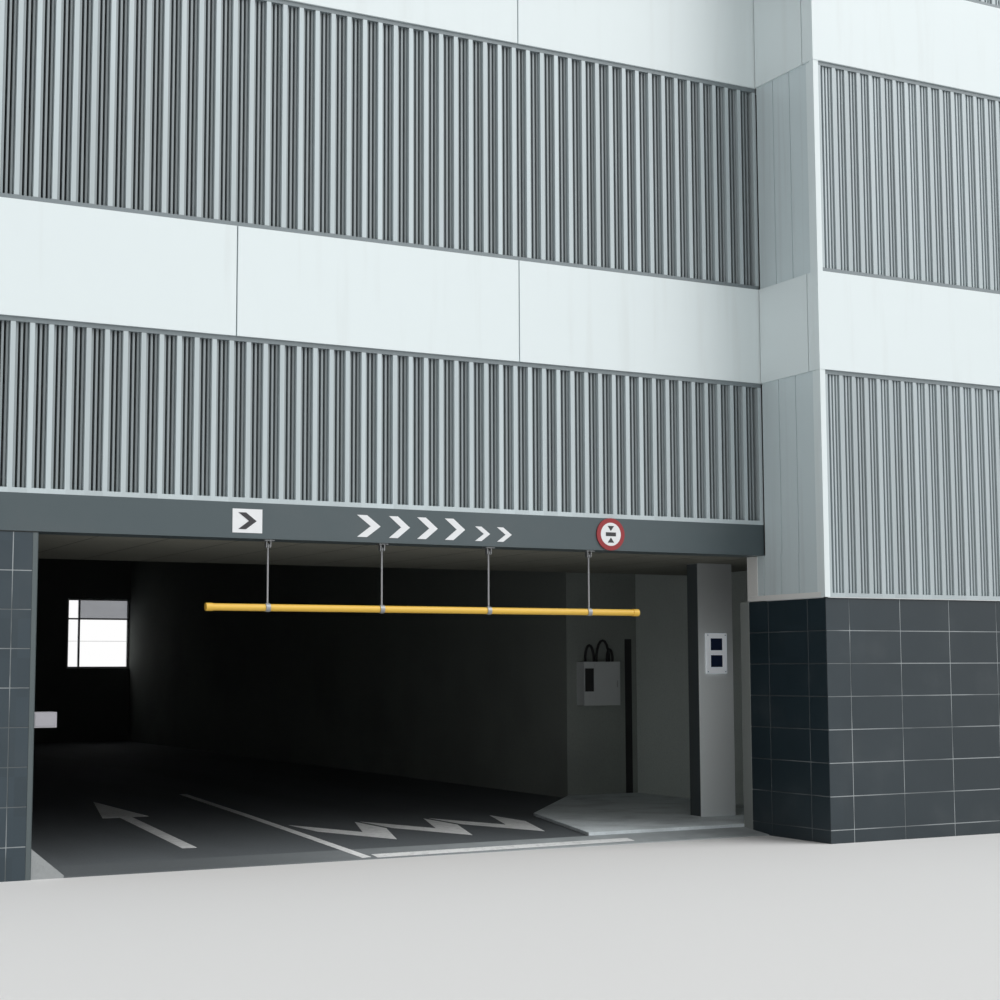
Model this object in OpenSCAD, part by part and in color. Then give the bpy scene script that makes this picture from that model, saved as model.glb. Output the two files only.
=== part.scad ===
// Multi storey car park, ground level to roof parapet.
// Lengths are millimetres. X runs along the street front, Y runs into the
// building and Z is up. The origin is the centre of the footprint on the ground.

/* [Plan] */
// Width of one cladding module along a face
bay_module = 2700; // [2400:50:3000]
// Modules of the main front, left of the projecting wing
main_modules = 6; // [5:1:6]
// Modules of the projecting wing's front
wing_modules = 3; // [2:1:4]
// Modules of the depth behind the main front
depth_modules = 9; // [8:1:10]
// How far the wing stands forward of the main front
wing_projection = 930; // [700:10:1300]

/* [Levels] */
// Height of the ground floor over the street; the rest of its slab lies in the ground
ground_slab_t = 50; // [40:5:120]
// Underside of the first white band and of the first deck
band_base = 4400; // [4200:10:4700]
// Floor to floor height of the upper decks
floor_height = 3000; // [2800:10:3300]
// Height of a white band
band_h = 940; // [800:10:1100]
// Thickness of a deck slab
deck_t = 250; // [200:5:300]

/* [White bands] */
// Thickness of a spandrel panel
panel_t = 160; // [130:5:200]
// Open joint between two panels
panel_joint = 12; // [8:1:20]
// Height of the coping on the roof parapet
coping_h = 40; // [25:5:60]
// Lip of the coping behind the parapet panels
coping_lip = 30; // [20:5:40]

/* [Fin screens] */
// Distance from one fin to the next
fin_pitch = 150; // [140:5:180]
// Width of a fin at its street edge
fin_nose_w = 40; // [30:2:50]
// Width of a fin at its back edge
fin_back_w = 54; // [44:2:64]
// Depth of a fin
fin_depth = 100; // [80:5:110]
// Set-back of the fins behind the face of the white bands
fin_setback = 20; // [15:5:30]
// Height of the channels that hold the fin ends
channel_h = 40; // [30:5:60]
// How far the channels run on behind the fins
channel_lip = 10; // [5:5:20]
// Width of the post that ends a screen
end_post_w = 40; // [30:5:50]

/* [Corners] */
// Side of the square corner post
corner_post = 60; // [50:5:70]
// Set-back of the corner post behind the face of the white bands
corner_setback = 5; // [3:1:10]
// Thickness of the flat cladding and of the corner flange
cladding_t = 40; // [30:2:45]
// Width of one cladding plank
plank_w = 300; // [250:10:400]
// Width of the groove between planks
groove_w = 10; // [6:1:14]
// Depth of the groove between planks
groove_depth = 12; // [8:1:15]

/* [Base walls] */
// Thickness of the ground floor walls
wall_t = 200; // [180:5:240]
// Set-back of the walls, which leaves room for the tiles and the drip
wall_setback = 42; // [36:1:50]
// Height of the tiled base of the wing and the right side
wing_base_h = 2260; // [2100:10:2400]
// Clear height of the entrance, which is also the height of the tiled pier
entrance_h = 2700; // [2600:10:2900]
// Height of the dark fascia beam over the entrance
lintel_h = 300; // [250:10:350]
// Depth of the fascia beam
lintel_depth = 300; // [250:10:400]

/* [Entrance] */
// Clear width of the entrance between the pier and the wing
entrance_w = 7000; // [6000:50:7400]
// Length of the threshold slope
threshold_run = 400; // [300:50:900]
// Thickness of the threshold's outer edge
threshold_edge = 10; // [8:1:20]
// How far the wing's side wall runs on behind the main front
return_overrun = 300; // [280:10:320]
// Depth of the lowered ceiling behind the fascia beam
soffit_depth = 3000; // [2500:100:4000]
// Thickness of the lowered ceiling and of its back board
soffit_t = 60; // [40:5:80]
// Width of the light column beside the lane
gate_column_w = 430; // [300:10:500]
// Depth of the light column beside the lane
gate_column_depth = 200; // [150:10:300]
// Distance of the light column's centre line from the wing's side face
gate_column_x = 325; // [250:5:500]
// Distance of the light column's front behind the main front
gate_column_y = 1300; // [1100:10:1600]
// Height of the raised footway beside the lane
footway_h = 30; // [20:5:60]
// How far the footway spreads into the lane at the street
footway_spread = 1750; // [1200:50:2200]
// How far the footway still spreads at its bend
footway_bend_x = 1150; // [600:50:1200]
// Distance of the footway's bend behind the main front
footway_bend_y = 2600; // [2000:50:3200]
// Width of the concrete wedge at the pier's foot
guard_w = 260; // [200:10:270]
// Height of the wedge against the pier
guard_h = 240; // [150:10:300]
// Height of the wedge's outer edge
guard_edge = 20; // [10:1:40]

/* [Inner walls] */
// Distance of the lane wall from the wing's side face
lane_wall_x = 400; // [200:10:450]
// Distance of the recess wall from the wing's side face
recess_x = 1400; // [1300:10:1600]
// Depth of the recess behind the main front
recess_depth = 4560; // [4000:20:5000]

/* [Rear opening] */
// Width of the opening in the rear wall
rear_opening_w = 1400; // [900:10:1500]
// Sill of the opening in the rear wall
rear_sill_h = 1650; // [1200:10:1700]
// Head of the opening in the rear wall
rear_head_h = 3200; // [2900:10:3400]

/* [Columns] */
// Side of a concrete column
column_w = 400; // [350:10:450]
// Distance of the outer columns' centres from the faces
column_inset = 600; // [500:10:900]
// Place of the second column line, from the left face
column_line_x = 8100; // [7500:50:8400]
// Distance of the third column line from the wing's side face
wing_column_x = 900; // [820:10:1000]
// Distance of the first row of columns behind the main front
column_row_y = 1420; // [1200:10:1800]
// Rows of columns over the depth
column_rows = 4; // [4:1:5]

/* [Headroom bar] */
// Length of the yellow bar
bar_l = 4230; // [3600:10:4600]
// Diameter of the yellow bar
bar_d = 60; // [50:2:70]
// Height of the bar's lowest point, the headroom
bar_clear_h = 2100; // [2000:10:2200]
// Distance of the bar's centre from the wing's side face
bar_x = 3475; // [3200:5:3500]
// Distance of the hinge line behind the main front
bar_y = 150; // [130:5:200]
// Spacing of the hangers
hanger_spacing = 1050; // [900:10:1150]
// Hangers on the bar
hanger_count = 4; // [3:1:4]
// Diameter of a hanger rod
hanger_d = 16; // [12:1:18]
// Outside diameter of the hanger's eye
eye_d = 44; // [40:2:50]
// Thickness of the hanger's eye
eye_t = 14; // [10:1:16]
// Diameter of the hinge pin
pin_d = 16; // [12:1:18]
// Drop of the hinge pin below the fascia beam
pin_drop = 45; // [40:1:60]
// Thickness of the bracket's foot and cheeks
bracket_t = 8; // [6:1:10]
// Free play of the eye on the pin, all round
pin_play = 1; // [0.5:0.25:1.5]
// Gap between the eye and a cheek
cheek_gap = 7; // [6:0.5:9]
// Wall of the collar that holds the bar
collar_wall = 7; // [5:1:10]
// Length of the collar along the bar
collar_l = 40; // [30:5:60]
// Play of the bar in its collars
collar_play = 0.3; // [0.1:0.1:0.5]
// Length of the cap on each end of the bar
cap_l = 60; // [40:5:80]
// Wall of the cap round the bar
cap_wall = 4; // [3:0.5:6]

/* [Small pieces] */
// Diameter of the round height sign
disc_d = 300; // [260:10:300]
// Thickness of the round height sign
disc_t = 12; // [8:1:15]
// Distance of the height sign from the wing's side face
disc_x = 1740; // [1500:10:1900]
// Width of the white plate on the light column
plate_w = 260; // [200:10:280]
// Height of the white plate on the light column
plate_h = 420; // [380:10:480]
// Underside of the white plate
plate_z = 1550; // [1500:10:1700]
// Thickness of the white plate
plate_t = 15; // [10:1:20]
// Width of the light box on the recess wall
wall_box_w = 510; // [400:10:560]
// Height of the light box on the recess wall
wall_box_h = 530; // [450:10:700]
// Distance of the light box from the recess's side wall
wall_box_gap = 350; // [200:10:400]
// Depth of the light box on the recess wall
wall_box_depth = 180; // [140:5:220]
// Underside of the light box
wall_box_z = 1160; // [1000:10:1300]
// Reach of the jamb box into the entrance
jamb_box_reach = 180; // [150:5:240]
// Height of the jamb box
jamb_box_h = 120; // [100:5:140]
// Underside of the jamb box
jamb_box_z = 1165; // [1000:5:1300]

/* [Hidden] */

main_w = main_modules * bay_module;
wing_w = wing_modules * bay_module;
total_w = main_w + wing_w;
main_d = depth_modules * bay_module;
total_d = main_d + wing_projection;

left_x = -total_w / 2;
right_x = total_w / 2;
wing_x = left_x + main_w;
wing_y = -total_d / 2;
front_y = wing_y + wing_projection;
rear_y = total_d / 2;

// Undersides of the three white bands, ground up
band_z = [for (i = [0 : 2]) band_base + i * floor_height];
lintel_top = entrance_h + lintel_h;
roof_top = band_z[2] + band_h;

wall_back = wall_setback + wall_t;
screen_back = fin_setback + fin_depth + channel_lip;
// A screen starts behind the corner post and stops short of the next screen
screen_start = corner_setback + corner_post;
screen_stop = screen_back + corner_setback;
// Overlap of two solids that are joined into one
weld = 1;

pier_x = wing_x - entrance_w;
// Where the left wall's top meets the back of the fascia beam
lintel_stop = main_d - fin_setback - lintel_depth;
recess_y = front_y + recess_depth;
column_y0 = front_y + column_row_y;
column_pitch_y = (rear_y - column_inset - column_y0) / (column_rows - 1);
column_x = [left_x + column_inset, left_x + column_line_x, wing_x + wing_column_x, right_x - column_inset];
gate_x = wing_x + gate_column_x;
gate_y = front_y + gate_column_y;

hinge_y = front_y + bar_y;
hinge_z = entrance_h - pin_drop;
bar_z = bar_clear_h + bar_d / 2;
bar_cx = wing_x - bar_x;
eye_half_gap = eye_t / 2 + cheek_gap;

// The six faces in order round the building: each starts at its left corner, seen from outside
module on_left() { translate([left_x, rear_y, 0]) rotate(-90) children(); }
module on_front() { translate([left_x, front_y, 0]) children(); }
module on_return() { translate([wing_x, front_y, 0]) rotate(-90) children(); }
module on_wing() { translate([wing_x, wing_y, 0]) children(); }
module on_right() { translate([right_x, wing_y, 0]) rotate(90) children(); }
module on_rear() { translate([right_x, rear_y, 0]) rotate(180) children(); }

// Outline of the building, set in by d from every face
module outline(d) {
    polygon([
        [left_x + d, front_y + d], [wing_x + d, front_y + d], [wing_x + d, wing_y + d],
        [right_x - d, wing_y + d], [right_x - d, rear_y - d], [left_x + d, rear_y - d]
    ]);
}

// A straight length of wall or panel: x0 to x1 along the face, d0 to d1 into it, z0 to z1 up
module run(x0, x1, d0, d1, z0, z1) {
    translate([x0, d0, z0]) cube([x1 - x0, d1 - d0, z1 - z0]);
}

// Panels of depth t along the joints of one face, with open joints between them
module panel_row(joints, stop, t, z, h) {
    for (i = [0 : len(joints) - 1]) {
        x0 = joints[i] + (joints[i] > 0 ? panel_joint / 2 : 0);
        x1 = i < len(joints) - 1 ? joints[i + 1] - panel_joint / 2 : stop;
        run(x0, x1, 0, t, z, z + h);
    }
}

function module_joints(count, first) = [for (i = [0 : count - 1]) first + i * bay_module];

// One storey of band or coping all round, each face stopping short of the next one's panels
module ring_of_panels(t, z, h) {
    stop = t + panel_joint;
    on_left() panel_row(module_joints(depth_modules, 0), main_d - stop, t, z, h);
    on_front() panel_row(module_joints(main_modules, 0), main_w + t, t, z, h);
    on_return() run(panel_joint, wing_projection - stop, 0, t, z, z + h);
    on_wing() panel_row(module_joints(wing_modules, 0), wing_w - stop, t, z, h);
    on_right() panel_row(concat([0], module_joints(depth_modules, wing_projection)),
        total_d - stop, t, z, h);
    on_rear() panel_row(module_joints(main_modules + wing_modules, 0), total_w - stop, t, z, h);
}

// A fin screen from x0 to x1 and z0 to z1: tapered blades between two channels and two posts
module fin_screen(x0, x1, z0, z1) {
    clear_l = x1 - x0 - 2 * end_post_w;
    count = floor((clear_l - fin_back_w) / fin_pitch);
    first = x0 + end_post_w + (clear_l - (count - 1) * fin_pitch) / 2;
    back = fin_setback + fin_depth;
    union() {
        for (z = [z0, z1 - channel_h]) run(x0, x1, fin_setback, screen_back, z, z + channel_h);
        for (x = [x0, x1 - end_post_w])
            run(x, x + end_post_w, fin_setback, screen_back, z0 + channel_h, z1 - channel_h);
        for (i = [0 : count - 1])
            translate([first + i * fin_pitch, 0, z0 + channel_h])
                linear_extrude(z1 - z0 - 2 * channel_h) polygon([
                    [-fin_nose_w / 2, fin_setback + weld], [fin_nose_w / 2, fin_setback + weld],
                    [fin_back_w / 2, back], [-fin_back_w / 2, back]
                ]);
    }
}

// Vertical planks of flat cladding with grooves between them
module plank_wall(x0, x1, z0, z1, d0, t) {
    count = max(1, round((x1 - x0) / plank_w));
    step = (x1 - x0) / count;
    difference() {
        run(x0, x1, d0, d0 + t, z0, z1);
        for (i = [1 : count - 1])
            run(x0 + i * step - groove_w / 2, x0 + i * step + groove_w / 2,
                d0 - weld, d0 + groove_depth, z0 - weld, z1 + weld);
    }
}

// Outer corner at the left end of a face: square post, with a flange on the face before it
module corner(z0, z1) {
    translate([0, 0, z0]) linear_extrude(z1 - z0) union() {
        translate([corner_setback, corner_setback]) square(corner_post);
        translate([fin_setback, screen_start - weld])
            square([cladding_t, screen_stop - screen_start + weld]);
    }
}

function storey_z0(i, ground) = i == 0 ? ground : band_z[i - 1] + band_h;

module ground_slab() {
    color("dimgray") union() {
        linear_extrude(ground_slab_t) difference() {
            outline(wall_back);
            // The threshold takes the slab's place between the pier and the wing
            translate([pier_x, front_y]) square([entrance_w + wall_setback, threshold_run + wall_setback]);
            // The wing's side wall stands on the ground
            translate([wing_x, wing_y]) square([wall_back, wing_projection + return_overrun]);
        }
        translate([wing_x + wall_setback, front_y + wall_setback, 0]) rotate([90, 0, -90])
            linear_extrude(entrance_w + wall_setback - guard_w) polygon([
                [0, 0], [-threshold_run - weld, 0], [-threshold_run - weld, ground_slab_t],
                [-threshold_run, ground_slab_t], [0, threshold_edge]
            ]);
    }
}

module deck(i) {
    color("gray") translate([0, 0, band_z[i]]) linear_extrude(deck_t) outline(panel_t);
}

module columns() {
    color("darkgray") for (level = [0 : 2], ix = [0 : len(column_x) - 1], iy = [0 : column_rows - 1]) {
        z0 = level == 0 ? ground_slab_t : band_z[level - 1] + deck_t;
        // No column of this size stands on the footway
        if (!(level == 0 && ix == 2 && iy == 0))
            translate([column_x[ix] - column_w / 2, column_y0 + iy * column_pitch_y - column_w / 2, z0])
                cube([column_w, column_w, band_z[level] - z0]);
    }
}

module gate_column() {
    color("lightgray") translate([gate_x - gate_column_w / 2, gate_y, ground_slab_t + footway_h])
        cube([gate_column_w, gate_column_depth, entrance_h - ground_slab_t - footway_h]);
}

module left_front_wall() {
    color("slategray") on_front()
        run(wall_setback, main_w - entrance_w, wall_setback, wall_back, 0, entrance_h);
}

module left_side_wall() {
    color("slategray") on_left() union() {
        run(wall_setback, main_d - wall_back, wall_setback, wall_back, 0, entrance_h);
        run(wall_setback, lintel_stop, wall_setback, wall_back, entrance_h - weld, lintel_top);
    }
}

module left_fascia() {
    color("darkslategray") on_left()
        run(fin_setback, lintel_stop, fin_setback, wall_setback, entrance_h, lintel_top);
}

module right_side_wall() {
    color("slategray") on_right()
        run(wall_setback, total_d - wall_back, wall_setback, wall_back, 0, wing_base_h);
}

module rear_wall() {
    lane_face = right_x - wing_x - lane_wall_x;
    color("slategray") on_rear() difference() {
        union() {
            run(wall_setback, total_w - wall_back, wall_setback, wall_back, 0, wing_base_h);
            run(screen_back, total_w - wall_back, wall_setback, wall_back, wing_base_h - weld, band_base);
        }
        run(lane_face, lane_face + rear_opening_w, 0, wall_back + weld, rear_sill_h, rear_head_h);
    }
}

module rear_cladding() {
    lane_face = right_x - wing_x - lane_wall_x;
    color("silver") on_rear() difference() {
        plank_wall(screen_start, total_w - screen_stop, wing_base_h, band_base, fin_setback,
            wall_setback - fin_setback);
        run(lane_face, lane_face + rear_opening_w, 0, wall_back, wing_base_h - weld, rear_head_h);
    }
}

module wing_front_wall() {
    color("slategray") on_wing()
        run(wall_setback, wing_w - wall_back, wall_setback, wall_back, 0, wing_base_h);
}

module wing_return_wall() {
    color("slategray") on_return() union() {
        run(-return_overrun, wing_projection - wall_back, wall_setback, wall_back, 0, wing_base_h);
        run(-return_overrun, wing_projection - wall_back, fin_setback + cladding_t, wall_back,
            wing_base_h - weld, band_base);
    }
}

module return_cladding() {
    color("silver") on_return() {
        plank_wall(-return_overrun, wing_projection - screen_stop, wing_base_h, entrance_h,
            fin_setback, cladding_t);
        for (i = [0 : 2])
            plank_wall(0, wing_projection - screen_stop, storey_z0(i, entrance_h), band_z[i],
                fin_setback, cladding_t);
    }
}

module recess_side_wall() {
    color("rosybrown") translate([wing_x + recess_x, wing_y + wall_back, ground_slab_t])
        cube([wall_t, recess_y - wing_y - wall_back, band_base - ground_slab_t]);
}

module recess_end_wall() {
    color("rosybrown") translate([wing_x + lane_wall_x, recess_y, ground_slab_t])
        cube([recess_x + wall_t - lane_wall_x, wall_t, band_base - ground_slab_t]);
}

module lane_wall() {
    color("rosybrown") translate([wing_x + lane_wall_x, recess_y + wall_t, ground_slab_t])
        cube([wall_t, rear_y - wall_back - recess_y - wall_t, band_base - ground_slab_t]);
}

module entrance_lintel() {
    color("darkslategray") on_front()
        run(fin_setback, main_w + fin_setback, fin_setback, fin_setback + lintel_depth,
            entrance_h, lintel_top);
}

module entrance_soffit() {
    soffit_front = front_y + fin_setback + lintel_depth;
    color("tan") translate([pier_x, soffit_front, entrance_h]) rotate([90, 0, 90])
        linear_extrude(entrance_w + recess_x) polygon([
            [0, 0], [soffit_depth, 0], [soffit_depth, band_base - entrance_h],
            [soffit_depth - soffit_t, band_base - entrance_h], [soffit_depth - soffit_t, soffit_t],
            [0, soffit_t]
        ]);
}

module footway() {
    street_end = threshold_run + wall_setback;
    color("gainsboro") translate([wing_x, front_y, ground_slab_t]) linear_extrude(footway_h) polygon([
        [-footway_spread, street_end], [recess_x, street_end], [recess_x, recess_depth],
        [lane_wall_x, recess_depth], [-footway_bend_x, footway_bend_y]
    ]);
}

// Wedge that keeps wheels off the pier's foot, in the first strip of the threshold
module pier_guard() {
    color("gainsboro") translate([pier_x, front_y + wall_setback + threshold_run, 0]) rotate([90, 0, 0])
        linear_extrude(threshold_run)
            polygon([[0, 0], [guard_w, 0], [guard_w, guard_edge], [0, guard_h]]);
}

module white_band(i) {
    color("white") ring_of_panels(panel_t, band_z[i], band_h - (i == 2 ? coping_h : 0));
}

module roof_coping() {
    color("whitesmoke") ring_of_panels(panel_t + coping_lip, roof_top - coping_h, coping_h);
}

module corner_posts() {
    color("white") for (i = [0 : 2]) {
        on_front() corner(storey_z0(i, lintel_top), band_z[i]);
        on_wing() corner(storey_z0(i, wing_base_h), band_z[i]);
        on_right() corner(storey_z0(i, wing_base_h), band_z[i]);
        on_rear() corner(storey_z0(i, wing_base_h), band_z[i]);
        on_left() corner(storey_z0(i, lintel_top), band_z[i]);
    }
}

module front_fins(i) {
    color("silver") on_front()
        fin_screen(screen_start, main_w + fin_setback, storey_z0(i, lintel_top), band_z[i]);
}

module wing_fins(i) {
    color("silver") on_wing()
        fin_screen(screen_start, wing_w - screen_stop, storey_z0(i, wing_base_h), band_z[i]);
}

module right_fins(i) {
    color("silver") on_right()
        fin_screen(screen_start, total_d - screen_stop, storey_z0(i, wing_base_h), band_z[i]);
}

module rear_fins(i) {
    color("silver") on_rear()
        fin_screen(screen_start, total_w - screen_stop, storey_z0(i, wing_base_h), band_z[i]);
}

module left_fins(i) {
    color("silver") on_left()
        fin_screen(screen_start, main_d - screen_stop, storey_z0(i, lintel_top), band_z[i]);
}

module column_plate() {
    color("white") translate([gate_x - plate_w / 2, gate_y - plate_t, plate_z])
        cube([plate_w, plate_t, plate_h]);
}

module wall_box() {
    color("lightgray")
        translate([wing_x + recess_x - wall_box_gap - wall_box_w, recess_y - wall_box_depth, wall_box_z])
            cube([wall_box_w, wall_box_depth, wall_box_h]);
}

module jamb_box() {
    color("lightgray") translate([pier_x, front_y + wall_setback, jamb_box_z])
        cube([jamb_box_reach, wall_t, jamb_box_h]);
}

module height_disc() {
    color("firebrick") translate([wing_x - disc_x, front_y + fin_setback, entrance_h + lintel_h / 2])
        rotate([90, 0, 0]) cylinder(d = disc_d, h = disc_t, $fn = 96);
}

module at_hangers() {
    for (i = [0 : hanger_count - 1])
        translate([bar_cx + (i - (hanger_count - 1) / 2) * hanger_spacing, hinge_y, hinge_z]) children();
}

// Foot plate, two cheeks and the pin between them
module bar_brackets() {
    foot_w = 2 * (eye_half_gap + bracket_t);
    color("dimgray") at_hangers() union() {
        translate([-foot_w, -eye_d, pin_drop - bracket_t]) cube([2 * foot_w, 2 * eye_d, bracket_t]);
        for (x = [-eye_half_gap - bracket_t, eye_half_gap]) {
            translate([x, -eye_d / 2, 0]) cube([bracket_t, eye_d, pin_drop - bracket_t + weld]);
            translate([x, 0, 0]) rotate([0, 90, 0]) cylinder(d = eye_d, h = bracket_t, $fn = 64);
        }
        translate([-foot_w / 2, 0, 0]) rotate([0, 90, 0]) cylinder(d = pin_d, h = foot_w, $fn = 48);
    }
}

// Eye round the pin, rod, and the collar round the bar
module bar_hangers() {
    collar_d = bar_d + 2 * collar_wall;
    drop = hinge_z - bar_z;
    color("lightgray") at_hangers() difference() {
        union() {
            translate([-eye_t / 2, 0, 0]) rotate([0, 90, 0]) cylinder(d = eye_d, h = eye_t, $fn = 64);
            translate([0, 0, -drop]) cylinder(d = hanger_d, h = drop, $fn = 48);
            translate([-collar_l / 2, 0, -drop]) rotate([0, 90, 0])
                cylinder(d = collar_d, h = collar_l, $fn = 64);
        }
        translate([-eye_t, 0, 0]) rotate([0, 90, 0])
            cylinder(d = pin_d + 2 * pin_play, h = 2 * eye_t, $fn = 48);
        translate([-collar_l, 0, -drop]) rotate([0, 90, 0])
            cylinder(d = bar_d + 2 * collar_play, h = 2 * collar_l, $fn = 64);
    }
}

module headroom_bar() {
    color("gold") translate([bar_cx, hinge_y, bar_z]) rotate([0, 90, 0]) union() {
        cylinder(d = bar_d, h = bar_l, center = true, $fn = 64);
        for (z = [-bar_l / 2, bar_l / 2 - cap_l])
            translate([0, 0, z]) cylinder(d = bar_d + 2 * cap_wall, h = cap_l, $fn = 64);
    }
}

ground_slab();
deck(0);  // deck_1
deck(1);  // deck_2
deck(2);  // roof_deck
columns();
gate_column();
left_front_wall();
left_side_wall();
left_fascia();
right_side_wall();
rear_wall();
rear_cladding();
wing_front_wall();
wing_return_wall();
return_cladding();
recess_side_wall();
recess_end_wall();
lane_wall();
entrance_lintel();
entrance_soffit();
footway();
pier_guard();
white_band(0);  // white_band_1
white_band(1);  // white_band_2
white_band(2);  // roof_band
roof_coping();
corner_posts();
front_fins(0);  // front_fins_0
front_fins(1);  // front_fins_1
front_fins(2);  // front_fins_2
wing_fins(0);  // wing_fins_0
wing_fins(1);  // wing_fins_1
wing_fins(2);  // wing_fins_2
right_fins(0);  // right_fins_0
right_fins(1);  // right_fins_1
right_fins(2);  // right_fins_2
left_fins(0);  // left_fins_0
left_fins(1);  // left_fins_1
left_fins(2);  // left_fins_2
rear_fins(1);  // rear_fins_1
rear_fins(2);  // rear_fins_2
column_plate();
wall_box();
jamb_box();
height_disc();
bar_brackets();
bar_hangers();
headroom_bar();
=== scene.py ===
# %% [markdown]
# # A multi storey car park
# The CAD model arrives as a fixed frame of named solids: decks, walls, white
# bands, fin screens and an entrance with a hanging headroom bar. This notebook
# gives every solid its finish, and adds what is too thin or too fine for the
# CAD model, such as tiles, paint, seams and small signs.

import math

import bpy
from mathutils import Matrix, Vector


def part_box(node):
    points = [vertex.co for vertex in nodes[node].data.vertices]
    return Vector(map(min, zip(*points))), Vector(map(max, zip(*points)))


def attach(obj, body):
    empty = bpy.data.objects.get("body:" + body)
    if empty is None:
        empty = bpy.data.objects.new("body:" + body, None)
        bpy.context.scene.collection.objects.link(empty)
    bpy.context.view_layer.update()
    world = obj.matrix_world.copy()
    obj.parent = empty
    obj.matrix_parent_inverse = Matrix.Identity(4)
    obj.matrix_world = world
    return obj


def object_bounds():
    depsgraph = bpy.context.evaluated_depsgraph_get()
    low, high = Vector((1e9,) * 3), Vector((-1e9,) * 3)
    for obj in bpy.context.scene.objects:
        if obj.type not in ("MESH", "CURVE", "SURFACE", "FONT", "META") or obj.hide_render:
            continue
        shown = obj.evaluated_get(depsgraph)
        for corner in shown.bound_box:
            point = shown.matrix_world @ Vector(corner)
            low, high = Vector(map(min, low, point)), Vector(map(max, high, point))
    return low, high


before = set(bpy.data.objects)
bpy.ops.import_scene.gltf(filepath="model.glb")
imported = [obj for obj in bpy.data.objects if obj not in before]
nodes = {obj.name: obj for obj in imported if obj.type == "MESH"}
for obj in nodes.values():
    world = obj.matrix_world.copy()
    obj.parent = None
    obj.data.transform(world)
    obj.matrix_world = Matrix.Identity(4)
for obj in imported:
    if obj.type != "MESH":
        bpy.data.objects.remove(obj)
cad_low, cad_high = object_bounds()
print(len(nodes), "solids, size in metres:", [round(v, 3) for v in cad_high - cad_low])

# %% [markdown]
# ## Where things are
# The outer faces, the entrance and the storeys are read from the boxes of a few
# solids, so the dressing follows the CAD model when one of its sizes changes.
# Only small pieces, marks and painted lines have a place of their own, in metres.

# %% Levels and faces read from the solids
LEFT, WING_FRONT, RIGHT, REAR = cad_low.x, cad_low.y, cad_high.x, cad_high.y
pier_low, pier_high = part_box("left_front_wall")
WALL_IN = pier_low.x - LEFT  # set-back of the walls behind the outer faces
FRONT = pier_low.y - WALL_IN  # plane of the main front
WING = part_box("wing_return_wall")[0].x - WALL_IN  # plane of the wing's side face
PIER_EDGE = pier_high.x
PIER_TOP = pier_high.z
BASE_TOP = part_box("wing_front_wall")[1].z
lintel_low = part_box("entrance_lintel")[0]
band_low, band_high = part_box("white_band_1")
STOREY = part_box("white_band_2")[0].z - band_low.z
floor_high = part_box("ground_slab")[1]
SLOPE_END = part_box("pier_guard")[1].y  # where the threshold slope meets the floor
print("front", round(FRONT, 3), "wing", round(WING, 3), "pier edge", round(PIER_EDGE, 3))

# %% [markdown]
# Six faces carry pieces of the same kinds, such as tiles, strips and fins. Each
# could be built in world coordinates with its own signs and swaps. It is simpler
# to give each face a frame of its own: x runs along the face from its left corner
# seen from outside, y runs inwards and z up. One function then serves all six.

# %% One local frame for each face
FACES = {
    "left": (LEFT, REAR, -90),
    "front": (LEFT, FRONT, 0),
    "return": (WING, FRONT, -90),
    "wing": (WING, WING_FRONT, 0),
    "right": (RIGHT, WING_FRONT, 90),
    "rear": (RIGHT, REAR, 180),
}
LENGTHS = {
    "left": REAR - FRONT,
    "front": WING - LEFT,
    "return": FRONT - WING_FRONT,
    "wing": RIGHT - WING,
    "right": REAR - WING_FRONT,
    "rear": RIGHT - LEFT,
}


def face(name):
    """The matrix that takes a face's own x, y and z to the building's."""
    x, y, turn = FACES[name]
    return Matrix.Translation((x, y, 0)) @ Matrix.Rotation(math.radians(turn), 4, "Z")


print({name: round(length, 2) for name, length in LENGTHS.items()})

# %% [markdown]
# ## Arithmetic for shaders
# A procedural finish is mostly arithmetic on noise and positions. Wiring Math
# nodes by hand hides the idea, so a small class wraps a socket and lets Python's
# own operators add the nodes. Vectors go through Vector Math, numbers through
# Math, and colours are only ever mixed.


# %% A socket that does arithmetic
class Wire:
    def __init__(self, socket):
        self.socket = socket

    def _combine(self, operation, first, second):
        wires = [v for v in (first, second) if isinstance(v, Wire)]
        vector = any(w.socket.type in ("VECTOR", "RGBA") for w in wires)
        kind = "ShaderNodeVectorMath" if vector else "ShaderNodeMath"
        return add_node(self.socket.id_data, kind, {"operation": operation}, {0: first, 1: second})

    def __add__(self, other):
        return self._combine("ADD", self, other)

    def __radd__(self, other):
        return self._combine("ADD", other, self)

    def __sub__(self, other):
        return self._combine("SUBTRACT", self, other)

    def __rsub__(self, other):
        return self._combine("SUBTRACT", other, self)

    def __mul__(self, other):
        return self._combine("MULTIPLY", self, other)

    def __rmul__(self, other):
        return self._combine("MULTIPLY", other, self)

    def __truediv__(self, other):
        return self._combine("DIVIDE", self, other)

    def __rtruediv__(self, other):
        return self._combine("DIVIDE", other, self)

    def larger(self, other):
        return self._combine("MAXIMUM", self, other)


def add_node(tree, kind, settings, sockets, out=0):
    """The one way in for any node: its settings first, then the values or links of its sockets."""
    node = tree.nodes.new(kind)
    for name, value in settings.items():
        setattr(node, name, value)
    for key, value in sockets.items():
        socket = node.inputs[key]
        if isinstance(value, Wire):
            tree.links.new(value.socket, socket)
        elif socket.type == "VECTOR" and not hasattr(value, "__len__"):
            socket.default_value = (value,) * 3
        elif socket.type == "RGBA" and len(value) == 3:
            socket.default_value = (*value, 1)
        else:
            socket.default_value = value
    return Wire(node.outputs[out]) if node.outputs else None


# %% [markdown]
# ## Finishes
# Each finish starts from the position on the solid, in metres, because the CAD
# solids carry no texture coordinates. `spread` turns a noise into a mask with a
# soft edge, and `coat` closes the finish with the one shader that everything
# here needs: a surface with colour, roughness, some metal and fine relief.


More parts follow.
